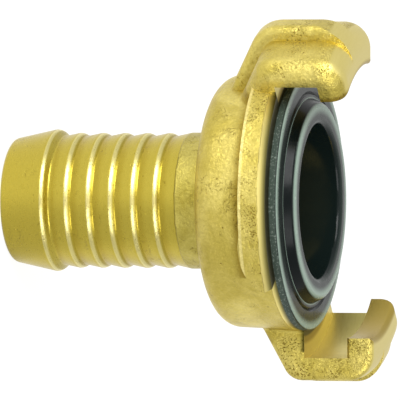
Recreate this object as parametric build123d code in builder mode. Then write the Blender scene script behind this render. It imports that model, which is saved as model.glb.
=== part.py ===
"""Brass claw coupling half with a barbed hose tail and a moulded sealing ring.

+Z is the waterway axis, from the hose tail up to the claws. The origin is the centre of the tail's end
face. One claw is centred on +X and the other on -X: the coupling repeats after half a turn.
"""

from build123d import *
from math import cos, degrees, hypot, radians, sin, tan
import os

# ---------------------------------------------------------------------------------------------------
# Driving dimensions, in millimetres and degrees
# ---------------------------------------------------------------------------------------------------

# Waterway
tail_bore_radius = 7.6
tail_bore_chamfer = 0.5
seat_cone_depth = 6.0

# Hose tail: an entry cone up to the first barb, then shallow saw-tooth ribs
tail_end_radius = 9.0
tail_end_rounding = 0.9
barb_radius = 10.48
barb_height = 6.75
rib_crest_radius = 9.95
rib_root_radius = 9.42
rib_pitch = 3.38
rib_count = 5
rib_drop_length = 0.85
rib_crest_rounding = 1.0
rib_root_rounding = 0.35

# Neck between the turned tail and the head
neck_radius = 9.95
neck_start_gap = 3.25
neck_length = 4.8
neck_root_rounding = 1.8

# Head: a drafted hub with a machined front face
hub_back_radius = 18.3
hub_back_rounding = 3.0
hub_draft = 2.5
hub_depth = 12.0

# Bayonet lugs
lug_radius = 21.9
lug_thickness = 3.8
lug_span = 83.0
lug_edge_chamfer = 0.9
lug_back_chamfer = 0.3
lug_detent_height = 0.4
lug_detent_length = 1.5
lug_lead_length = 7.4
lug_tip_thickness = 0.6

# Claws: hooked bars that reach over the other half's lugs
claw_span = 43.0
channel_radius = 22.9
channel_width = 6.4
hook_radius = 20.0
hook_thickness = 3.95
claw_bar_thickness = 3.3
claw_back_slope = 61.0
claw_heel_depth = 6.6
claw_heel_rounding = 3.0
claw_nose_rounding = 3.9
claw_lip_rounding = 0.8
claw_trailing_rounding = 2.6
claw_leading_rounding = 0.9
claw_root_rounding = 0.6
hook_lead_chamfer = 0.45

# Grip rib over the outside of each claw
grip_rib_height = 1.9
grip_rib_width = 4.2
grip_rib_rounding = 1.2
grip_rib_nose_radius = 5.8

# Sealing ring and its undercut seat
seal_flange_thickness = 1.1
seal_throat_radius = 11.2
seal_collar_radius = 14.0
seal_foot_radius = 15.6
seal_foot_height = 2.6
seal_lip_radius = 15.0
seal_lip_height = 1.5
seal_lip_rounding = 0.8
seal_groove_radius = 15.8
seal_groove_depth = 0.3
seal_edge_rounding = 0.35
seat_wall_thickness = 2.4
seat_clearance = 0.15

# ---------------------------------------------------------------------------------------------------
# Sizes that follow from the ones above
# ---------------------------------------------------------------------------------------------------

last_rib_height = barb_height + rib_count * rib_pitch
neck_base_height = last_rib_height + neck_start_gap
hub_back_height = neck_base_height + neck_length
face_height = hub_back_height + hub_depth
hub_face_radius = hub_back_radius + hub_depth * tan(radians(hub_draft))

lug_back_height = face_height - lug_thickness
hook_back_height = face_height + channel_width
nose_height = hook_back_height + hook_thickness
claw_radius = channel_radius + claw_bar_thickness
claw_heel_height = face_height - claw_heel_depth
claw_inner_radius = hub_back_radius - hub_back_rounding

seal_top_height = face_height + seal_flange_thickness
seal_foot_top = face_height - seat_wall_thickness - seat_clearance
seal_foot_base = seal_foot_top - seal_foot_height
seat_undercut_top = face_height - seat_wall_thickness
seat_floor_height = seal_foot_base - seat_clearance

claw_count = 2
leading_turn = -claw_span / 2
trailing_turn = claw_span / 2
lug_end_turn = trailing_turn + lug_span
lead_mid_turn = lug_end_turn - degrees(lug_lead_length / 2 / lug_radius)
detent_start_turn = lead_mid_turn - degrees((lug_lead_length / 2 + lug_detent_length) / lug_radius)

lathe_reach = 2 * nose_height
tolerance = 0.01


def axial_plane(turn):
    """Plane through the waterway axis: x points out from it, turned from +X, and y points up it."""
    outward = (cos(radians(turn)), sin(radians(turn)), 0)
    normal = (sin(radians(turn)), -cos(radians(turn)), 0)
    return Plane(origin=(0, 0, 0), x_dir=outward, z_dir=normal)


def slope_height(radius, offset=0.0):
    """Height of the claw's back slope at a radius, or of a line that lies offset outside it."""
    rise = (radius - hub_back_radius) / tan(radians(claw_back_slope))
    return claw_heel_height + rise - offset / sin(radians(claw_back_slope))


def outside_hub(point):
    """Distance of a point from the drafted side of the hub, square to the waterway axis."""
    hub_radius = hub_back_radius + (point.Z - hub_back_height) * tan(radians(hub_draft))
    return abs(hypot(point.X, point.Y) - hub_radius)


def is_claw_root(edge):
    """True for an edge where a claw stands on the side of the hub, clear of its grip rib and lug."""
    middle = edge @ 0.5
    on_hub = max(outside_hub(point) for point in (edge @ 0, middle, edge @ 1)) < tolerance
    beside_rib = grip_rib_width < abs(middle.Y) < hub_face_radius * sin(radians(trailing_turn))
    return on_hub and beside_rib and middle.Z < face_height - tolerance


def flank_rim(part_faces, turn):
    """Rim of a claw blank's flank at this turn, without the edge that is buried in the hub."""
    plane = axial_plane(turn)
    flank = part_faces.sort_by_distance(plane.from_local_coords((lug_radius, face_height, 0)))[0]
    return flank.edges().filter_by(
        lambda edge: plane.to_local_coords(edge @ 0.5).X > claw_inner_radius + tolerance
    )


# ---------------------------------------------------------------------------------------------------
# Claw: forged blank with a sloping back, before its channel is turned
# ---------------------------------------------------------------------------------------------------

with BuildPart() as claw:
    with BuildSketch(axial_plane(leading_turn)):
        with BuildLine():
            heel = (claw_radius, slope_height(claw_radius))
            nose = (claw_radius, nose_height)
            Polyline(
                (claw_inner_radius, slope_height(claw_inner_radius)),
                heel,
                nose,
                (claw_inner_radius, nose_height),
                close=True,
            )
        make_face()
        fillet(vertices().sort_by_distance(heel)[0], claw_heel_rounding)
        fillet(vertices().sort_by_distance(nose)[0], claw_nose_rounding)
    revolve(axis=Axis.Z, revolution_arc=claw_span)
    fillet(flank_rim(faces(), trailing_turn), claw_trailing_rounding)
    fillet(flank_rim(faces(), leading_turn), claw_leading_rounding)

# Grip rib: it follows the middle of the claw's back slope and outside, and is turned down at the nose
with BuildPart() as grip_rib:
    rib_outer_radius = claw_radius + grip_rib_height
    rib_top_height = nose_height + grip_rib_height
    with BuildSketch(Plane.XZ):
        with BuildLine():
            rib_heel = (rib_outer_radius, slope_height(rib_outer_radius, grip_rib_height))
            Polyline(
                (claw_inner_radius, slope_height(claw_inner_radius, grip_rib_height)),
                rib_heel,
                (rib_outer_radius, rib_top_height),
                (claw_inner_radius, rib_top_height),
                close=True,
            )
        make_face()
        fillet(vertices().sort_by_distance(rib_heel)[0], claw_heel_rounding + grip_rib_height)
    extrude(amount=grip_rib_width / 2, both=True)
    flank_edges = faces().filter_by(Plane.XZ).edges()
    buried_edges = flank_edges.group_by(Axis.X)[0] + flank_edges.group_by(Axis.Z)[-1]
    fillet([edge for edge in flank_edges if edge not in buried_edges], grip_rib_rounding)
    with BuildSketch(Plane.XZ):
        with BuildLine():
            nose_arc_centre = (rib_outer_radius - grip_rib_nose_radius, nose_height - grip_rib_nose_radius)
            CenterArc(nose_arc_centre, grip_rib_nose_radius, 0, 90)
            Polyline(
                (rib_outer_radius, nose_arc_centre[1]),
                (lathe_reach, nose_arc_centre[1]),
                (lathe_reach, lathe_reach),
                (0, lathe_reach),
                (0, nose_height),
                (nose_arc_centre[0], nose_height),
            )
        make_face()
    revolve(axis=Axis.Z, mode=Mode.SUBTRACT)

# ---------------------------------------------------------------------------------------------------
# Lug: runs from the claw's trailing flank, with a small detent and a curved lead-in at its free end
# ---------------------------------------------------------------------------------------------------

with BuildPart() as lug:
    detent_back_height = lug_back_height - lug_detent_height
    with BuildSketch(axial_plane(0)):
        with BuildLine():
            Polyline(
                (claw_inner_radius, detent_back_height),
                (lug_radius, detent_back_height),
                (lug_radius, face_height),
                (claw_inner_radius, face_height),
                close=True,
            )
        make_face()
        chamfer(vertices().sort_by_distance((lug_radius, face_height))[0], lug_edge_chamfer)
        chamfer(vertices().sort_by_distance((lug_radius, detent_back_height))[0], lug_back_chamfer)
    revolve(axis=Axis.Z, revolution_arc=lug_end_turn)
    # The back is relieved up to the detent, and the free end sweeps forward in a quarter ellipse
    with BuildSketch(axial_plane(0)):
        with BuildLine():
            Polyline(
                (claw_inner_radius, detent_back_height - lug_detent_height),
                (lathe_reach, detent_back_height - lug_detent_height),
                (lathe_reach, lug_back_height),
                (claw_inner_radius, lug_back_height),
                close=True,
            )
        make_face()
    revolve(axis=Axis.Z, revolution_arc=detent_start_turn, mode=Mode.SUBTRACT)
    lead_plane = Plane(
        origin=(0, 0, 0),
        x_dir=axial_plane(lead_mid_turn + 90).x_dir,
        z_dir=axial_plane(lead_mid_turn).x_dir,
    )
    with BuildSketch(lead_plane):
        with BuildLine():
            lead_height = face_height - lug_tip_thickness - detent_back_height
            half_lead = lug_lead_length / 2
            below = detent_back_height - lug_detent_height
            lead_centre = (-half_lead, face_height - lug_tip_thickness)
            EllipticalCenterArc(lead_centre, lug_lead_length, lead_height, start_angle=270, arc_size=90)
            Polyline(
                (half_lead, face_height - lug_tip_thickness),
                (half_lead, face_height + lug_tip_thickness),
                (2 * lug_lead_length, face_height + lug_tip_thickness),
                (2 * lug_lead_length, below),
                (-half_lead - lug_detent_length, below),
                (-half_lead - lug_detent_length, lug_back_height),
                (-half_lead, detent_back_height),
            )
        make_face()
    extrude(amount=lathe_reach, mode=Mode.SUBTRACT)

# ---------------------------------------------------------------------------------------------------
# Coupling body: hose tail, neck and hub, joined by the forged claws, ribs and lugs
# ---------------------------------------------------------------------------------------------------

with BuildPart() as coupling_body:
    with BuildSketch(Plane.XZ):
        with BuildLine():
            barb = (barb_radius, barb_height)
            crests = [(rib_crest_radius, barb_height + rib * rib_pitch) for rib in range(1, rib_count + 1)]
            roots = [(rib_root_radius, height + rib_drop_length) for radius, height in [barb] + crests]
            Polyline(
                (0, 0),
                (tail_end_radius, 0),
                barb,
                roots[0],
                *[corner for rib in zip(crests, roots[1:]) for corner in rib],
                (neck_radius, neck_base_height),
                (neck_radius, hub_back_height),
                (hub_back_radius, hub_back_height),
                (hub_face_radius, face_height),
                (0, face_height),
                close=True,
            )
        make_face()
        for crest in [barb] + crests:
            fillet(vertices().sort_by_distance(crest)[0], rib_crest_rounding)
        for root in roots:
            fillet(vertices().sort_by_distance(root)[0], rib_root_rounding)
        fillet(vertices().sort_by_distance((tail_end_radius, 0))[0], tail_end_rounding)
        fillet(vertices().sort_by_distance((neck_radius, hub_back_height))[0], neck_root_rounding)
        fillet(vertices().sort_by_distance((hub_back_radius, hub_back_height))[0], hub_back_rounding)
    revolve(axis=Axis.Z)
    with PolarLocations(0, claw_count):
        add(lug.part)
        add(claw.part)
        add(grip_rib.part)
    fillet(edges().filter_by(is_claw_root), claw_root_rounding)

    # Claw channels and hook bores, turned in one cut with the machined front face
    with BuildSketch(Plane.XZ):
        with BuildLine():
            lip_base = nose_height - claw_lip_rounding
            Polyline(
                (hook_radius, lip_base),
                (hook_radius, hook_back_height),
                (channel_radius, hook_back_height),
                (channel_radius, face_height),
                (0, face_height),
                (0, nose_height + claw_lip_rounding),
                (hook_radius + claw_lip_rounding, nose_height + claw_lip_rounding),
                (hook_radius + claw_lip_rounding, nose_height),
            )
            CenterArc((hook_radius + claw_lip_rounding, lip_base), claw_lip_rounding, 90, 90)
        make_face()
    revolve(axis=Axis.Z, mode=Mode.SUBTRACT)
    for claw_turn in (leading_turn, leading_turn + 180):
        hook_middle = ((hook_radius + channel_radius) / 2, hook_back_height, 0)
        lead_edge = edges().sort_by_distance(axial_plane(claw_turn).from_local_coords(hook_middle))[0]
        chamfer(lead_edge, hook_lead_chamfer)

    # Waterway: tail bore, cone and the undercut seat for the sealing ring
    with BuildSketch(Plane.XZ):
        with BuildLine():
            Polyline(
                (0, -tail_bore_chamfer),
                (tail_bore_radius + 2 * tail_bore_chamfer, -tail_bore_chamfer),
                (tail_bore_radius, tail_bore_chamfer),
                (tail_bore_radius, seat_floor_height - seat_cone_depth),
                (seal_throat_radius, seat_floor_height),
                (seal_foot_radius + seat_clearance, seat_floor_height),
                (seal_foot_radius + seat_clearance, seat_undercut_top),
                (seal_collar_radius + seat_clearance, seat_undercut_top),
                (seal_collar_radius + seat_clearance, face_height + lug_tip_thickness),
                (0, face_height + lug_tip_thickness),
                close=True,
            )
        make_face()
    revolve(axis=Axis.Z, mode=Mode.SUBTRACT)
coupling_body.part.label = "coupling_body"

# ---------------------------------------------------------------------------------------------------
# Sealing ring: a collar and foot snapped into the seat, a face flange and a raised sealing lip
# ---------------------------------------------------------------------------------------------------

with BuildPart() as sealing_ring:
    with BuildSketch(Plane.XZ):
        with BuildLine():
            lip_height = seal_top_height + seal_lip_height
            Polyline(
                (seal_throat_radius, seal_foot_base),
                (seal_foot_radius, seal_foot_base),
                (seal_foot_radius, seal_foot_top),
                (seal_collar_radius, seal_foot_top),
                (seal_collar_radius, face_height),
                (hub_face_radius, face_height),
                (hub_face_radius, seal_top_height),
                (seal_groove_radius + seal_groove_depth, seal_top_height),
                (seal_groove_radius, seal_top_height - seal_groove_depth),
                (seal_groove_radius - seal_groove_depth, seal_top_height),
                (seal_lip_radius, seal_top_height),
                (seal_lip_radius - seal_lip_height / 2, lip_height),
                (seal_throat_radius, lip_height),
                close=True,
            )
        make_face()
        lip_corners = vertices().filter_by(lambda c: c.Y > lip_height - 0.01)
        fillet(lip_corners, seal_lip_rounding)
        fillet(vertices().sort_by_distance((hub_face_radius, seal_top_height))[0], seal_edge_rounding)
    revolve(axis=Axis.Z)
sealing_ring.part.label = "sealing_ring"

os.makedirs("parts", exist_ok=True)
for piece in (coupling_body.part, sealing_ring.part):
    export_step(piece, f"parts/{piece.label}.step")
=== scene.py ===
import logging
import math
from dataclasses import dataclass, field
from enum import Enum

import bpy
import numpy as np
from mathutils import Matrix, Vector


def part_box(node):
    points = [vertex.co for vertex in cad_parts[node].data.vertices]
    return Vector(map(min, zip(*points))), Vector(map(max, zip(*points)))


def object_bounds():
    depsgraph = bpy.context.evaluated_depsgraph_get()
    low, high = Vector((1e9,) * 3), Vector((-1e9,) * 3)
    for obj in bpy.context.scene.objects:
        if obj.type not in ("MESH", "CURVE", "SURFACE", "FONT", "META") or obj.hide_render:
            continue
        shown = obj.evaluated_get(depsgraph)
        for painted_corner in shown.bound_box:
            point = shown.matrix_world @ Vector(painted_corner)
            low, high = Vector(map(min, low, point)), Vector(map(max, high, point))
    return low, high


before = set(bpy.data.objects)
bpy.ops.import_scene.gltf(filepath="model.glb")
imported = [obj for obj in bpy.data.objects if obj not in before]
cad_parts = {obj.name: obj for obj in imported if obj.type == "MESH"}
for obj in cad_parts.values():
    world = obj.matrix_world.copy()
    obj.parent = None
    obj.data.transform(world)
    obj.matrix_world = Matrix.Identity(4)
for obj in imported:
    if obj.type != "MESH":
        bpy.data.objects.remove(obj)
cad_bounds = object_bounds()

log = logging.getLogger("claw_coupling")

MM_PER_METRE = 1000.0
# Keeps the sideways facing finite on the waterway axis, in millimetres
SMALLEST_RADIUS = 0.1
Colour = tuple[float, float, float]
# Where a smooth step starts and where it ends
Step = tuple[float, float]


class Zone(Enum):
    """How a part of the brass was finished."""

    FORGED = "forged"
    TURNED = "turned"
    MACHINED = "machined"


@dataclass(frozen=True)
class Pattern:
    """A fractal noise: waves to a millimetre, number and weight of its finer layers, and its bend."""

    scale: float
    detail: float = 2.0
    rough: float = 0.5
    warp: float = 0.0


# ---------------------------------------------------------------------------------------------------
# Node trees
# ---------------------------------------------------------------------------------------------------


class Graph:
    """Writes one node tree, with sockets or plain numbers as inputs."""

    def __init__(self, tree: bpy.types.NodeTree) -> None:
        """Empties the tree.

        Args:
            tree: the node tree of a material or of the world.
        """
        self.tree = tree
        tree.nodes.clear()

    def node(self, kind: str, **settings: object) -> bpy.types.Node:
        """Adds a node and sets its options.

        Args:
            kind: Blender's node type.
            settings: options of that node.

        Returns:
            The new node.
        """
        made = self.tree.nodes.new(kind)
        for name, value in settings.items():
            setattr(made, name, value)
        return made

    def feed(self, socket: bpy.types.NodeSocket, value: object) -> None:
        """Links a socket to another one, or writes a number or colour on it.

        Args:
            socket: the input that is fed.
            value: a socket, a number, a vector or a colour.
        """
        if isinstance(value, bpy.types.NodeSocket):
            self.tree.links.new(value, socket)
        elif isinstance(value, tuple) and len(socket.default_value) == 4:
            socket.default_value = (*value, 1.0)
        else:
            socket.default_value = value

    def math(self, operation: str, *values: object, clamp: bool = False) -> bpy.types.NodeSocket:
        """Adds a Math node.

        Args:
            operation: what the node works out.
            values: what its inputs get.
            clamp: whether the result is kept from 0 to 1.

        Returns:
            The result.
        """
        made = self.node("ShaderNodeMath", operation=operation, use_clamp=clamp)
        for socket, value in zip(made.inputs, values):
            self.feed(socket, value)
        return made.outputs[0]

    def product(self, *values: object) -> bpy.types.NodeSocket:
        """Multiplies values.

        Args:
            values: two or more numbers or sockets.

        Returns:
            The product.
        """
        total = values[0]
        for value in values[1:]:
            total = self.math("MULTIPLY", total, value)
        return total

    def inverse(self, mask: object) -> bpy.types.NodeSocket:
        """1 where a mask is 0, and 0 where it is 1."""
        return self.math("SUBTRACT", 1.0, mask)

    def rise(self, value: object, low: float, high: float) -> bpy.types.NodeSocket:
        """Smooth step from 0 at low to 1 at high.

        Args:
            value: what the step depends on.
            low: where it starts.
            high: where it ends.

        Returns:
            The step.
        """
        made = self.node("ShaderNodeMapRange", interpolation_type="SMOOTHSTEP")
        self.feed(made.inputs["Value"], value)
        made.inputs["From Min"].default_value = low
        made.inputs["From Max"].default_value = high
        return made.outputs["Result"]

    def fall(self, value: object, low: float, high: float) -> bpy.types.NodeSocket:
        """Smooth step from 1 at low to 0 at high."""
        return self.inverse(self.rise(value, low, high))

    def span(self, value: object, low: float, high: float) -> bpy.types.NodeSocket:
        """Straight map of 0 to 1 onto low to high."""
        return self.math("MULTIPLY_ADD", value, high - low, low)

    def mix(self, kind: str, factor: object, first: object, second: object,
            mode: str = "MIX") -> bpy.types.NodeSocket:
        """Adds a Mix node.

        Args:
            kind: RGBA for colours, or FLOAT for numbers.
            factor: 0 gives the first value and 1 the second.
            first: colour, number or socket.
            second: colour, number or socket.
            mode: how two colours are put together.

        Returns:
            The mixed value.
        """
        made = self.node("ShaderNodeMix", data_type=kind, blend_type=mode)
        inputs = [socket for socket in made.inputs if socket.enabled]
        for socket, value in zip(inputs, (factor, first, second)):
            self.feed(socket, value)
        return next(socket for socket in made.outputs if socket.enabled)

    def blend(self, factor: object, first: object, second: object) -> bpy.types.NodeSocket:
        """Mixes two colours."""
        return self.mix("RGBA", factor, first, second)

    def tint(self, factor: object, base: object, colour: Colour) -> bpy.types.NodeSocket:
        """Multiplies a colour by another one, as far as the factor says."""
        return self.mix("RGBA", factor, base, colour, "MULTIPLY")

    def lerp(self, factor: object, first: object, second: object) -> bpy.types.NodeSocket:
        """Mixes two numbers."""
        return self.mix("FLOAT", factor, first, second)

    def noise(self, point: object, pattern: Pattern) -> bpy.types.NodeSocket:
        """Adds a fractal noise.

        Args:
            point: where it is read, in millimetres.
            pattern: the size and make-up of the noise.

        Returns:
            The noise, from 0 to 1.
        """
        made = self.node("ShaderNodeTexNoise", normalize=True)
        self.feed(made.inputs["Vector"], point)
        made.inputs["Scale"].default_value = pattern.scale
        made.inputs["Detail"].default_value = pattern.detail
        made.inputs["Roughness"].default_value = pattern.rough
        made.inputs["Distortion"].default_value = pattern.warp
        return made.outputs["Fac"]

    def bump(self, height: object, depth: float, normal: object = None) -> bpy.types.NodeSocket:
        """Adds fine relief.

        Args:
            height: the relief, from 0 to 1.
            depth: how deep that is, in metres.
            normal: a relief that this one is laid on.

        Returns:
            The surface's new normal.
        """
        made = self.node("ShaderNodeBump")
        self.feed(made.inputs["Height"], height)
        made.inputs["Distance"].default_value = depth
        if normal is not None:
            self.feed(made.inputs["Normal"], normal)
        return made.outputs["Normal"]


@dataclass
class Place:
    """Where a point of the surface lies, in millimetres and degrees about the waterway axis."""

    point: bpy.types.NodeSocket
    z: bpy.types.NodeSocket
    radius: bpy.types.NodeSocket
    turn: bpy.types.NodeSocket
    across: bpy.types.NodeSocket
    forward: bpy.types.NodeSocket

    @classmethod
    def read(cls, graph: Graph) -> "Place":
        """Reads the Object coordinates and the surface's own normal.

        The radius is the root of x squared plus y squared. The turn is the angle from the nearer of the
        two claws, which lie on +X and -X. Across is how far the surface faces round the axis, 0 to 1, and
        forward how far it faces along the axis.

        Args:
            graph: the tree to write in.

        Returns:
            The sockets that give the place.
        """
        coordinates = graph.node("ShaderNodeTexCoord").outputs["Object"]
        scaled = graph.node("ShaderNodeVectorMath", operation="SCALE")
        graph.feed(scaled.inputs[0], coordinates)
        scaled.inputs["Scale"].default_value = MM_PER_METRE
        parts = graph.node("ShaderNodeSeparateXYZ")
        graph.feed(parts.inputs[0], scaled.outputs[0])
        x, y, z = parts.outputs
        radius = graph.math("SQRT", graph.math("ADD", graph.product(x, x), graph.product(y, y)))
        side = graph.math("SIGN", x)
        turn = graph.math("DEGREES", graph.math("ARCTAN2", graph.product(y, side),
                                                graph.math("ABSOLUTE", x)))
        normal = graph.node("ShaderNodeSeparateXYZ")
        graph.feed(normal.inputs[0], graph.node("ShaderNodeNewGeometry").outputs["Normal"])
        swirl = graph.math("SUBTRACT", graph.product(x, normal.outputs[1]),
                           graph.product(y, normal.outputs[0]))
        reach = graph.math("MAXIMUM", radius, SMALLEST_RADIUS)
        across = graph.math("ABSOLUTE", graph.math("DIVIDE", swirl, reach))
        return cls(scaled.outputs[0], z, radius, turn, across, normal.outputs[2])


def principled(graph: Graph, **values: object) -> bpy.types.Node:
    """Adds a Principled shader with an output, and feeds its sockets.

    Args:
        graph: the tree to write in.
        values: what each socket gets, with underscores for the spaces in its name.

    Returns:
        The shader node.
    """
    shader = graph.node("ShaderNodeBsdfPrincipled")
    for name, value in values.items():
        graph.feed(shader.inputs[name.replace("_", " ")], value)
    output = graph.node("ShaderNodeOutputMaterial")
    graph.feed(output.inputs["Surface"], shader.outputs["BSDF"])
    return shader


# ---------------------------------------------------------------------------------------------------
# Finishes
# ---------------------------------------------------------------------------------------------------


@dataclass(frozen=True)
class BrassTone:
    """Colour and gloss of one way of finishing brass."""

    light: Colour
    dark: Colour
    roughness: float
    roughness_spread: float

    def gloss(self, graph: Graph, variation: object) -> bpy.types.NodeSocket:
        """Roughness that varies by the spread about its middle."""
        half = self.roughness_spread / 2
        return graph.span(variation, self.roughness - half, self.roughness + half)


@dataclass(frozen=True)
class BrassFinish:
    """Hot-forged brass, with a lathe-turned tail and machined coupling faces."""

    forged: BrassTone = BrassTone((0.76, 0.64, 0.185), (0.57, 0.46, 0.092), 0.37, 0.22)
    turned: BrassTone = BrassTone((0.56, 0.45, 0.070), (0.46, 0.365, 0.045), 0.29, 0.16)
    machined: BrassTone = BrassTone((0.84, 0.72, 0.27), (0.76, 0.63, 0.18), 0.36, 0.14)
    pit_shade: Colour = (0.42, 0.35, 0.20)
    # Painted shade and painted reflection of the dark seal on the flat brass rim round it
    painted_rim_shade: Colour = (0.16, 0.17, 0.15)
    # Painted shade for the hub just behind each lug
    painted_corner_shade: Colour = (0.55, 0.48, 0.30)
    # Painted highlight along each lug's back edge
    painted_edge_highlight: Colour = (0.84, 0.72, 0.27)
    # Painted highlight on the forward-facing flanks of the tail's ridges
    crest_painted_highlight: Colour = (0.96, 0.88, 0.42)
    # Painted shade at the bottoms of the tail's grooves
    groove_painted_shade: Colour = (0.86, 0.82, 0.66)
    neck_shade: Colour = (0.78, 0.79, 0.68)
    mottle_shade: Colour = (0.70, 0.66, 0.50)
    cloud: Pattern = Pattern(0.14, 4.0, 0.6, 0.6)
    cloud_step: Step = (0.34, 0.68)
    grain: Pattern = Pattern(2.6, 3.0, 0.7)
    mottle_step: Step = (0.35, 0.7)
    mottle_amount: float = 0.45
    tool_marks: Pattern = Pattern(1.0 / 0.22, 3.0, 0.7)
    tool_mark_stretch: float = 0.05
    skin: Pattern = Pattern(2.2, 4.0, 0.65)
    waves: Pattern = Pattern(0.35, 3.0)
    ragged_edge: Pattern = Pattern(1.2)
    edge_wander: float = 0.12
    pit_patch: Pattern = Pattern(0.2, 3.0)
    pit_patch_step: Step = (0.42, 0.60)
    exposed_radius: Step = (19.5, 20.5)
    exposed_height: Step = (38.0, 41.0)
    pit_crowding: Step = (0.12, 0.94)
    fine_pits: Pattern = Pattern(3.6, 3.0, 0.7)
    fine_pit_step: Step = (0.54, 0.62)
    large_pit_scale: float = 0.9
    large_pit_size: Step = (0.06, 0.15)
    large_pit_chance: Step = (0.80, 0.84)
    pit_rim: Pattern = Pattern(5.0)
    pit_rim_wander: float = 0.09
    pit_roughening: float = 0.3
    hair_lines: Pattern = Pattern(0.45, 3.0, 0.6, 1.5)
    hair_line_width: Step = (0.003, 0.012)
    hair_line_patch: Pattern = Pattern(0.30)
    hair_line_patch_step: Step = (0.54, 0.62)
    hair_line_amount: float = 0.7
    turned_pit_amount: float = 0.5
    crest_highlight_amount: float = 0.5
    skin_depth: float = 0.00020
    pit_depth: float = 0.00009
    tool_mark_depth: float = 0.000016

    def pits(self, graph: Graph, place: Place) -> bpy.types.NodeSocket:
        """Small pits of the forged skin.

        A fine noise cut at a threshold makes crowded specks, gathered in patches by a slow noise and
        strongest on the lugs and claws. Cells of about a millimetre add single larger pits.

        Args:
            graph: the tree to write in.
            place: where the surface lies.

        Returns:
            1 inside a pit, 0 outside.
        """
        patch = graph.noise(place.point, self.pit_patch)
        exposed = graph.product(graph.rise(place.radius, *self.exposed_radius),
                                graph.rise(place.z, *self.exposed_height))
        crowd = graph.product(graph.rise(patch, *self.pit_patch_step),
                              graph.span(exposed, *self.pit_crowding))
        fine = graph.product(graph.rise(graph.noise(place.point, self.fine_pits), *self.fine_pit_step),
                             crowd)
        cells = graph.node("ShaderNodeTexVoronoi", feature="F1")
        graph.feed(cells.inputs["Vector"], place.point)
        cells.inputs["Scale"].default_value = self.large_pit_scale
        chance = graph.node("ShaderNodeSeparateColor")
        graph.feed(chance.inputs[0], cells.outputs["Color"])
        wander = graph.span(graph.noise(place.point, self.pit_rim), -self.pit_rim_wander,
                            self.pit_rim_wander)
        ragged = graph.math("ADD", cells.outputs["Distance"], wander)
        large = graph.product(graph.fall(ragged, *self.large_pit_size),
                              graph.rise(chance.outputs[0], *self.large_pit_chance))
        return graph.math("MAXIMUM", fine, large)

    def zones(self, graph: Graph, place: Place, body: "CouplingBody") -> dict[Zone, bpy.types.NodeSocket]:
        """Where each finish shows, worked out from the sizes of the coupling.

        Args:
            graph: the tree to write in.
            place: where the surface lies.
            body: the sizes of the brass piece.

        Returns:
            A mask from 0 to 1 for each zone.
        """
        ragged = graph.span(graph.noise(place.point, self.ragged_edge), -self.edge_wander,
                            self.edge_wander)
        height = graph.math("ADD", place.z, ragged)
        open_face = graph.fall(place.across, 0.35, 0.6)
        turned = graph.fall(height, body.tail_top - 0.1, body.tail_top + 0.1)
        inside = graph.product(graph.rise(height, body.face_height - 1.0, body.face_height - 0.85),
                               graph.fall(place.radius, body.channel_radius + 0.05,
                                          body.channel_radius + 0.15), open_face)
        nose = graph.product(graph.rise(height, body.hook_back_height - 1.6, body.hook_back_height - 1.2),
                             graph.rise(place.forward, 0.42, 0.52), open_face)
        machined = graph.math("MAXIMUM", inside, nose)
        forged = graph.product(graph.inverse(turned), graph.inverse(machined))
        return {Zone.FORGED: forged, Zone.TURNED: turned, Zone.MACHINED: machined}

    def paint_rib_light(self, graph: Graph, place: Place, body: "CouplingBody",
                  colour: bpy.types.NodeSocket) -> bpy.types.NodeSocket:
        """Paints highlights on the forward-facing flanks of the tail's ridges, and paints shade at the
        bottoms of its grooves.

        Args:
            graph: the tree to write in.
            place: where the surface lies.
            body: the sizes of the brass piece.
            colour: the brass before it.

        Returns:
            The brass with painted light on its ribs.
        """
        behind_barb = graph.rise(place.z, body.barb_height + 1.0, body.barb_height + 1.4)
        on_tail = graph.product(graph.rise(place.z, body.barb_height - 1.0, body.barb_height - 0.5),
                                graph.fall(place.z, body.tail_top - 1.0, body.tail_top - 0.5))
        # Painted highlight: paler colour where the ridge flanks face forward, where the lamps' highlights
        # fall
        crest_highlight = graph.product(graph.rise(place.forward, 0.06, 0.22), graph.fall(place.forward, 0.5, 0.7),
                               graph.rise(place.radius, body.root_radius + 0.15, body.root_radius + 0.3),
                               on_tail)
        # Painted shade: darker colour at the groove bottoms, beside the steep drop of each rib
        painted_root_shade = graph.product(graph.fall(place.radius, body.root_radius + 0.05, body.root_radius + 0.3),
                              behind_barb, on_tail)
        return graph.blend(graph.product(crest_highlight, self.crest_highlight_amount),
                           graph.tint(painted_root_shade, colour, self.groove_painted_shade), self.crest_painted_highlight)

    def wrinkles(self, graph: Graph, place: Place) -> bpy.types.NodeSocket:
        """Short hair lines of the forged skin: the level line of a bent noise, kept in a few patches.

        Args:
            graph: the tree to write in.
            place: where the surface lies.

        Returns:
            1 on a line, 0 beside it.
        """
        level = graph.math("SUBTRACT", graph.noise(place.point, self.hair_lines), 0.5)
        line = graph.fall(graph.math("ABSOLUTE", level), *self.hair_line_width)
        patch = graph.rise(graph.noise(place.point, self.hair_line_patch), *self.hair_line_patch_step)
        return graph.product(line, patch)

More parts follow.
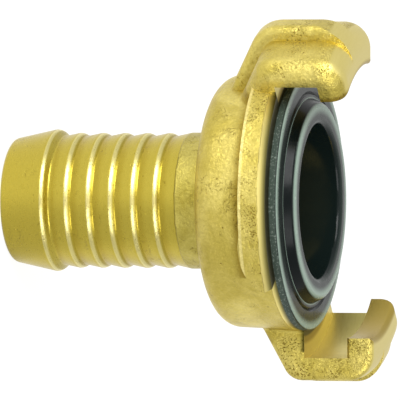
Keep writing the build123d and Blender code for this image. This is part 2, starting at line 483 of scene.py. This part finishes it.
    def paint_shade_and_highlights(self, graph: Graph, place: Place, body: "CouplingBody",
                      colour: bpy.types.NodeSocket) -> bpy.types.NodeSocket:
        """Paints shade on the rim round the seal and on the hub behind each lug, and a highlight along each
        lug's back edge.

        Args:
            graph: the tree to write in.
            place: where the surface lies.
            body: the sizes of the brass piece.
            colour: the brass before it.

        Returns:
            The brass with its painted shade and painted highlight.
        """
        clawed = graph.product(graph.fall(graph.math("ABSOLUTE", place.turn), body.claw_half_span - 0.5,
                                          body.claw_half_span),
                               graph.rise(place.radius, body.lug_radius - 2.4, body.lug_radius - 2.0))
        # Painted shade: darkens the flat brass rim inside the lugs next to the seal, standing in for its
        # shade and its reflection of the dark rubber
        painted_rim = graph.product(graph.rise(place.z, body.face_height - 0.85, body.face_height),
                             graph.fall(place.z, body.face_height + 0.02, body.face_height + 0.1),
                             graph.fall(place.radius, body.lug_radius + 0.05, body.lug_radius + 0.15),
                             graph.inverse(clawed))
        colour = graph.tint(painted_rim, colour, self.painted_rim_shade)
        bare = graph.product(graph.rise(place.turn, body.lug_end_turn - 1.0, body.lug_end_turn + 0.5),
                             graph.fall(place.turn, -body.claw_half_span, 1.0 - body.claw_half_span))
        lugged = graph.inverse(bare)
        # Painted shade: darkens the hub just behind each lug's back edge, where the lug shades it
        painted_corner = graph.product(graph.rise(place.z, body.lug_back_height - 2.6, body.lug_back_height - 0.8),
                               graph.fall(place.radius, body.lug_radius - 1.6, body.lug_radius - 0.8),
                               lugged)
        colour = graph.tint(painted_corner, colour, self.painted_corner_shade)
        # Painted highlight: a pale line along each lug's back edge, where the edge catches the light
        edge = graph.product(graph.rise(place.z, body.lug_back_height - 0.1, body.lug_back_height),
                             graph.fall(place.z, body.lug_back_height + 0.3, body.lug_back_height + 0.5),
                             graph.rise(place.radius, body.lug_radius - 0.6, body.lug_radius - 0.4),
                             graph.fall(place.radius, body.lug_radius + 0.1, body.lug_radius + 0.3),
                             lugged)
        return graph.blend(edge, colour, self.painted_edge_highlight)

    def lathe_lines(self, graph: Graph, place: Place) -> bpy.types.NodeSocket:
        """Tool marks: a noise read at radius, a small share of the turn, and height, so it runs round.

        Args:
            graph: the tree to write in.
            place: where the surface lies.

        Returns:
            The marks, from 0 to 1.
        """
        stretched = graph.node("ShaderNodeCombineXYZ")
        graph.feed(stretched.inputs[0], place.radius)
        graph.feed(stretched.inputs[1], graph.product(place.turn, self.tool_mark_stretch))
        graph.feed(stretched.inputs[2], place.z)
        return graph.noise(stretched.outputs[0], self.tool_marks)

    def lay_tones(self, graph: Graph, masks: dict[Zone, bpy.types.NodeSocket], cloud: object,
                  grain: object, lines: object) -> tuple[bpy.types.NodeSocket, bpy.types.NodeSocket]:
        """Lays the tone of each worked zone over the forged one.

        Args:
            graph: the tree to write in.
            masks: where each zone lies.
            cloud: slow variation of the forged skin.
            grain: fine variation of the forged skin.
            lines: tool marks of the worked zones.

        Returns:
            The colour and the roughness.
        """
        colour = graph.blend(cloud, self.forged.dark, self.forged.light)
        rough = self.forged.gloss(graph, grain)
        for zone, tone in ((Zone.TURNED, self.turned), (Zone.MACHINED, self.machined)):
            colour = graph.blend(masks[zone], colour, graph.blend(lines, tone.dark, tone.light))
            rough = graph.lerp(masks[zone], rough, tone.gloss(graph, lines))
        return colour, rough

    def relief(self, graph: Graph, place: Place, forged_part: object, pits: object,
               lines: object) -> bpy.types.NodeSocket:
        """Fine relief: the forged skin, its pits, and tool marks where it was worked.

        Args:
            graph: the tree to write in.
            place: where the surface lies.
            forged_part: where the forged skin is left.
            pits: where pits lie.
            lines: the tool marks.

        Returns:
            The surface's new normal.
        """
        skin = graph.math("ADD", graph.product(graph.noise(place.point, self.skin), 0.55),
                          graph.product(graph.noise(place.point, self.waves), 1.2))
        normal = graph.bump(graph.product(skin, forged_part), self.skin_depth)
        normal = graph.bump(graph.inverse(pits), self.pit_depth, normal)
        worked = graph.inverse(forged_part)
        return graph.bump(graph.product(lines, worked), self.tool_mark_depth, normal)

    def build(self, name: str, body: "CouplingBody") -> bpy.types.Material:
        """Makes the material.

        Args:
            name: name of the material.
            body: the sizes that the zones follow.

        Returns:
            The brass material.
        """
        material = bpy.data.materials.new(name)
        material.use_nodes = True
        graph = Graph(material.node_tree)
        place = Place.read(graph)
        masks = self.zones(graph, place, body)
        forged_part = masks[Zone.FORGED]
        cloud = graph.rise(graph.noise(place.point, self.cloud), *self.cloud_step)
        grain = graph.noise(place.point, self.grain)
        lines = self.lathe_lines(graph, place)

        colour, rough = self.lay_tones(graph, masks, cloud, grain, lines)
        colour = self.paint_rib_light(graph, place, body, colour)
        neck = graph.product(graph.rise(place.z, body.tail_top - 0.1, body.tail_top + 0.1),
                             graph.fall(place.z, body.hub_back_height - 0.6, body.hub_back_height + 1.0))
        colour = graph.tint(neck, colour, self.neck_shade)
        marks = graph.math("MAXIMUM", self.pits(graph, place),
                           graph.product(self.wrinkles(graph, place), self.hair_line_amount))
        marked = graph.math("MAXIMUM", forged_part, graph.product(masks[Zone.TURNED],
                                                                  self.turned_pit_amount))
        pits = graph.product(marks, marked)
        colour = self.paint_shade_and_highlights(graph, place, body, graph.tint(pits, colour, self.pit_shade))
        mottle = graph.span(graph.rise(grain, *self.mottle_step), self.mottle_amount, 0.0)
        colour = graph.tint(graph.product(forged_part, mottle), colour, self.mottle_shade)
        rough = graph.math("ADD", rough, graph.product(pits, self.pit_roughening), clamp=True)
        principled(graph, Base_Color=colour, Metallic=1.0, Roughness=rough,
                   Normal=self.relief(graph, place, forged_part, pits, lines))
        return material


@dataclass(frozen=True)
class RubberFinish:
    """Moulded black rubber, glossy on its face and dull and dusty on its side wall."""

    body: Colour = (0.0015, 0.0035, 0.0035)
    dust: Colour = (0.24, 0.28, 0.24)
    # Grey blooming of the rubber, together with a painted reflection of the bright room on forward-facing
    # faces
    bloom_and_painted_reflection: Colour = (0.25, 0.33, 0.27)
    side: Colour = (0.040, 0.058, 0.045)
    throat: Colour = (0.006, 0.011, 0.010)
    face_roughness: float = 0.20
    wall_roughness: float = 0.11
    side_roughness: float = 0.55
    index: float = 1.25
    specks: Pattern = Pattern(3.2, 2.0, 0.6)
    speck_step: Step = (0.54, 0.68)
    speck_amount: float = 0.55
    haze: Pattern = Pattern(0.5, 4.0, 0.6)
    haze_step: Step = (0.35, 0.75)
    haze_roughening: float = 0.10
    bloom_and_reflection_facing: Step = (0.62, 0.97)
    rim_bloom_and_reflection: Step = (0.06, 1.0)
    wall_facing: Step = (0.2, 0.5)
    skin: Pattern = Pattern(3.0, 3.0, 0.6)
    waves: Pattern = Pattern(0.25)
    skin_depth: float = 0.00002

    def build(self, name: str, ring: "SealingRing") -> bpy.types.Material:
        """Makes the material.

        Args:
            name: name of the material.
            ring: the sizes that the side wall follows.

        Returns:
            The rubber material.
        """
        material = bpy.data.materials.new(name)
        material.use_nodes = True
        graph = Graph(material.node_tree)
        place = Place.read(graph)
        side = graph.product(graph.rise(place.radius, ring.flange_radius - 0.25, ring.flange_radius - 0.08),
                             graph.fall(place.z, ring.flange_top - 0.3, ring.flange_top - 0.1))
        speck = graph.rise(graph.noise(place.point, self.specks), *self.speck_step)
        haze = graph.rise(graph.noise(place.point, self.haze), *self.haze_step)
        amount = graph.product(side, speck, self.speck_amount)
        lip = graph.product(graph.rise(place.radius, ring.lip_radius - 2.6, ring.lip_radius - 1.2),
                            graph.fall(place.radius, ring.lip_radius, ring.lip_radius + 0.3))
        rim = graph.rise(place.radius, ring.flange_radius - 1.7, ring.flange_radius - 0.5)
        # Blooming and painted reflection: lighter grey-green on the lip and rim where they face forward,
        # standing in for their reflection of the bright surroundings
        bloom_and_reflection = graph.product(graph.rise(place.forward, *self.bloom_and_reflection_facing),
                              graph.math("ADD", lip, graph.span(rim, *self.rim_bloom_and_reflection), clamp=True))
        inside = graph.fall(place.radius, ring.throat_radius + 0.3, ring.throat_radius + 0.8)
        colour = graph.blend(inside, graph.blend(side, self.body, self.side), self.throat)
        colour = graph.blend(bloom_and_reflection, colour, self.bloom_and_painted_reflection)
        colour = graph.blend(amount, colour, self.dust)
        wall = graph.fall(graph.math("ABSOLUTE", place.forward), *self.wall_facing)
        face = graph.span(haze, self.face_roughness, self.face_roughness + self.haze_roughening)
        rough = graph.lerp(wall, face, self.wall_roughness)
        rough = graph.lerp(side, rough, self.side_roughness)
        relief = graph.math("ADD", graph.product(graph.noise(place.point, self.skin),
                                                 graph.span(side, 0.12, 1.0)),
                            graph.product(graph.noise(place.point, self.waves), 0.8))
        normal = graph.bump(relief, self.skin_depth)
        principled(graph, Base_Color=colour, Roughness=rough, Normal=normal, IOR=self.index)
        return material


# ---------------------------------------------------------------------------------------------------
# The coupling's pieces
# ---------------------------------------------------------------------------------------------------


@dataclass
class CouplingBody:
    """The one-piece brass body: hose tail, neck, hub, lugs and claws. Sizes in millimetres."""

    node: str = "coupling_body"
    tail_top: float = 26.9
    hub_back_height: float = 31.7
    face_height: float = 43.7
    channel_radius: float = 22.9
    lug_back_height: float = 39.9
    lug_radius: float = 21.9
    lug_end_turn: float = -75.5
    claw_half_span: float = 21.5
    hook_back_height: float = 50.1
    barb_height: float = 6.75
    root_radius: float = 9.42
    finish: BrassFinish = field(default_factory=BrassFinish)

    def dress(self) -> None:
        """Puts the brass on the CAD piece."""
        dress_node(self.node, self.finish.build("forged_brass", self))


@dataclass
class SealingRing:
    """The moulded sealing ring in the coupling face. Sizes in millimetres."""

    node: str = "sealing_ring"
    flange_radius: float = 18.83
    lip_radius: float = 15.0
    throat_radius: float = 11.2
    flange_top: float = 44.8
    finish: RubberFinish = field(default_factory=RubberFinish)

    def dress(self) -> None:
        """Puts the rubber on the CAD piece."""
        dress_node(self.node, self.finish.build("moulded_rubber", self))


def dress_node(node: str, material: bpy.types.Material) -> None:
    """Gives a CAD piece its material and reports it.

    Args:
        node: name of the CAD piece.
        material: what it is made of.
    """
    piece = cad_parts[node]
    for slot in piece.material_slots:
        slot.material = material
    low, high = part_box(node)
    log.info("%s: %s, %d faces, %.1f mm tall", node, material.name, len(piece.data.polygons),
             (high.z - low.z) * MM_PER_METRE)


# ---------------------------------------------------------------------------------------------------
# Studio
# ---------------------------------------------------------------------------------------------------


def turned_axes(azimuth: float, elevation: float, roll: float) -> Matrix:
    """Axes of a camera or lamp that looks at the coupling.

    Args:
        azimuth: 0 looks along +Y, in degrees.
        elevation: height above the horizon, in degrees.
        roll: how far it is rolled to the left about its own line of sight, in degrees.

    Returns:
        A 3 x 3 matrix whose columns point right, up and back.
    """
    turn = Matrix.Rotation(math.radians(azimuth), 3, "Z")
    tilt = Matrix.Rotation(math.radians(90.0 - elevation), 3, "X")
    return turn @ tilt @ Matrix.Rotation(math.radians(roll), 3, "Z")


@dataclass(frozen=True)
class Softbox:
    """A soft area lamp that faces the coupling."""

    name: str
    azimuth: float
    elevation: float
    distance: float
    width: float
    height: float
    power: float
    colour: Colour = (1.0, 1.0, 1.0)

    def build(self, target: Vector) -> None:
        """Adds the lamp.

        Args:
            target: the point that it faces.
        """
        lamp = bpy.data.lights.new(self.name, "AREA")
        lamp.shape = "RECTANGLE"
        lamp.size, lamp.size_y = self.width, self.height
        lamp.energy = self.power
        lamp.color = self.colour
        holder = bpy.data.objects.new(self.name, lamp)
        axes = turned_axes(self.azimuth, self.elevation, 0.0)
        holder.matrix_world = Matrix.Translation(target + axes.col[2] * self.distance) @ axes.to_4x4()
        bpy.context.scene.collection.objects.link(holder)


@dataclass
class Studio:
    """Pale floor, white surroundings and soft lamps."""

    floor_radius: float = 1.6
    floor_rings: int = 24
    floor_sides: int = 96
    floor_glow: float = 0.85
    floor_seen: Colour = (0.25, 0.25, 0.25)
    floor_plain: Colour = (0.80, 0.80, 0.80)
    ambient: float = 0.75
    dim_azimuth: float = 22.0
    dim_level: float = 0.60
    dim_facing: Step = (0.55, 1.0)
    softboxes: tuple[Softbox, ...] = (
        Softbox("key_softbox", -64.0, 24.0, 0.6, 0.40, 0.34, 3.2),
        Softbox("fill_softbox", 12.0, 24.0, 0.6, 0.36, 0.30, 1.3),
        Softbox("end_softbox", -30.0, 66.0, 0.7, 0.5, 0.5, 0.5),
    )

    def view_rays(self, graph: Graph) -> bpy.types.NodeSocket:
        """Tells the rays that show the surroundings: from the camera, off gloss and through glass.

        Args:
            graph: the tree to write in.

        Returns:
            1 for those rays, 0 for the rest of the light.
        """
        path = graph.node("ShaderNodeLightPath")
        seen = graph.math("ADD", path.outputs["Is Camera Ray"], path.outputs["Is Glossy Ray"])
        return graph.math("ADD", seen, path.outputs["Is Transmission Ray"], clamp=True)

    def room_level(self, graph: Graph, outward: bpy.types.NodeSocket) -> bpy.types.NodeSocket:
        """How bright the room looks in a direction, as seen from the coupling.

        It is 1 all round. For rays off gloss it falls smoothly to dim_level towards dim_azimuth, so that
        polished metal shows its form.

        Args:
            graph: the tree to write in.
            outward: a vector from the coupling to the place that is seen.

        Returns:
            The brightness.
        """
        unit = graph.node("ShaderNodeVectorMath", operation="NORMALIZE")
        graph.feed(unit.inputs[0], outward)
        facing = graph.node("ShaderNodeVectorMath", operation="DOT_PRODUCT")
        graph.feed(facing.inputs[0], unit.outputs[0])
        turn = math.radians(self.dim_azimuth)
        facing.inputs[1].default_value = (math.sin(turn), -math.cos(turn), 0.0)
        shade = graph.span(graph.rise(facing.outputs["Value"], *self.dim_facing), 1.0, self.dim_level)
        return graph.lerp(graph.node("ShaderNodeLightPath").outputs["Is Glossy Ray"], 1.0, shade)

    def surroundings(self) -> None:
        """Makes the world: white where it is seen, and a plain soft level for the rest of the light."""
        world = bpy.data.worlds.new("studio")
        world.use_nodes = True
        graph = Graph(world.node_tree)
        direction = graph.node("ShaderNodeTexCoord").outputs["Generated"]
        level = self.room_level(graph, direction)
        background = graph.node("ShaderNodeBackground")
        graph.feed(background.inputs["Strength"], graph.lerp(self.view_rays(graph), self.ambient, level))
        output = graph.node("ShaderNodeOutputWorld")
        graph.feed(output.inputs["Surface"], background.outputs[0])
        bpy.context.scene.world = world

    def floor_material(self) -> bpy.types.Material:
        """White floor that shows as the backdrop and still takes a soft shadow."""
        material = bpy.data.materials.new("white_floor")
        material.use_nodes = True
        graph = Graph(material.node_tree)
        glow = graph.node("ShaderNodeEmission")
        place = graph.node("ShaderNodeTexCoord").outputs["Object"]
        graph.feed(glow.inputs["Strength"], graph.product(self.room_level(graph, place), self.floor_glow))
        sheet = graph.node("ShaderNodeBsdfDiffuse")
        graph.feed(sheet.inputs["Color"], self.floor_seen)
        seen = graph.node("ShaderNodeAddShader")
        graph.feed(seen.inputs[0], glow.outputs[0])
        graph.feed(seen.inputs[1], sheet.outputs[0])
        plain = graph.node("ShaderNodeBsdfDiffuse")
        graph.feed(plain.inputs["Color"], self.floor_plain)
        choice = graph.node("ShaderNodeMixShader")
        graph.feed(choice.inputs[0], self.view_rays(graph))
        graph.feed(choice.inputs[1], plain.outputs[0])
        graph.feed(choice.inputs[2], seen.outputs[0])
        output = graph.node("ShaderNodeOutputMaterial")
        graph.feed(output.inputs["Surface"], choice.outputs[0])
        return material

    def floor(self) -> bpy.types.Object:
        """Makes the floor as a flat disc.

        A point at ring u and side v lies at floor_radius times u squared, turned by v of a full circle.

        Returns:
            The floor.
        """
        u, v = np.meshgrid(np.linspace(0.0, 1.0, self.floor_rings + 1)[1:],
                           np.arange(self.floor_sides) / self.floor_sides, indexing="ij")
        reach = self.floor_radius * u ** 2
        rim = np.stack([reach * np.cos(2 * np.pi * v), reach * np.sin(2 * np.pi * v), 0 * u], axis=-1)
        points = np.concatenate([np.zeros((1, 3)), rim.reshape(-1, 3)])
        index = 1 + np.arange(rim.shape[0] * rim.shape[1]).reshape(rim.shape[:2])
        onward = np.roll(index, -1, axis=1)
        quads = np.stack([index[:-1], index[1:], onward[1:], onward[:-1]], axis=-1).reshape(-1, 4)
        hub = np.stack([0 * index[0], index[0], onward[0]], axis=-1)
        mesh = bpy.data.meshes.new("floor")
        mesh.from_pydata(points.tolist(), [], hub.tolist() + quads.tolist())
        mesh.materials.append(self.floor_material())
        piece = bpy.data.objects.new("floor", mesh)
        bpy.context.scene.collection.objects.link(piece)
        return piece

    def build(self) -> None:
        """Makes the surroundings, the floor and the lamps."""
        self.surroundings()
        self.floor()
        middle = (cad_bounds[0] + cad_bounds[1]) / 2
        for softbox in self.softboxes:
            softbox.build(middle)
        log.info("studio: floor and %d lamps", len(self.softboxes))


@dataclass
class ProductCamera:
    """Long lens a little above the coupling, rolled so that the waterway axis lies across the picture."""

    azimuth: float = -22.8
    elevation: float = 16.1
    roll: float = 90.2
    distance: float = 2.0
    view_width: float = 0.05865
    along: float = 0.02687
    aside: float = 0.0
    sensor: float = 36.0
    clip: tuple[float, float] = (0.1, 10.0)

    def build(self) -> None:
        """Adds the camera and makes it the scene's own."""
        data = bpy.data.cameras.new("camera")
        data.sensor_width = self.sensor
        data.lens = self.sensor * self.distance / self.view_width
        data.clip_start, data.clip_end = self.clip
        holder = bpy.data.objects.new("camera", data)
        axes = turned_axes(self.azimuth, self.elevation, self.roll)
        right, up, back = axes.col
        place = right * self.along + up * self.aside + back * self.distance
        holder.matrix_world = Matrix.Translation(place) @ axes.to_4x4()
        bpy.context.scene.collection.objects.link(holder)
        bpy.context.scene.camera = holder
        log.info("camera: %.0f mm lens", data.lens)


def main() -> None:
    """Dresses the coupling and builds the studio."""
    logging.basicConfig(level=logging.INFO, format="%(message)s")
    bpy.context.scene.view_settings.view_transform = "Standard"
    CouplingBody().dress()
    SealingRing().dress()
    Studio().build()
    ProductCamera().build()


if __name__ == "__main__":
    main()
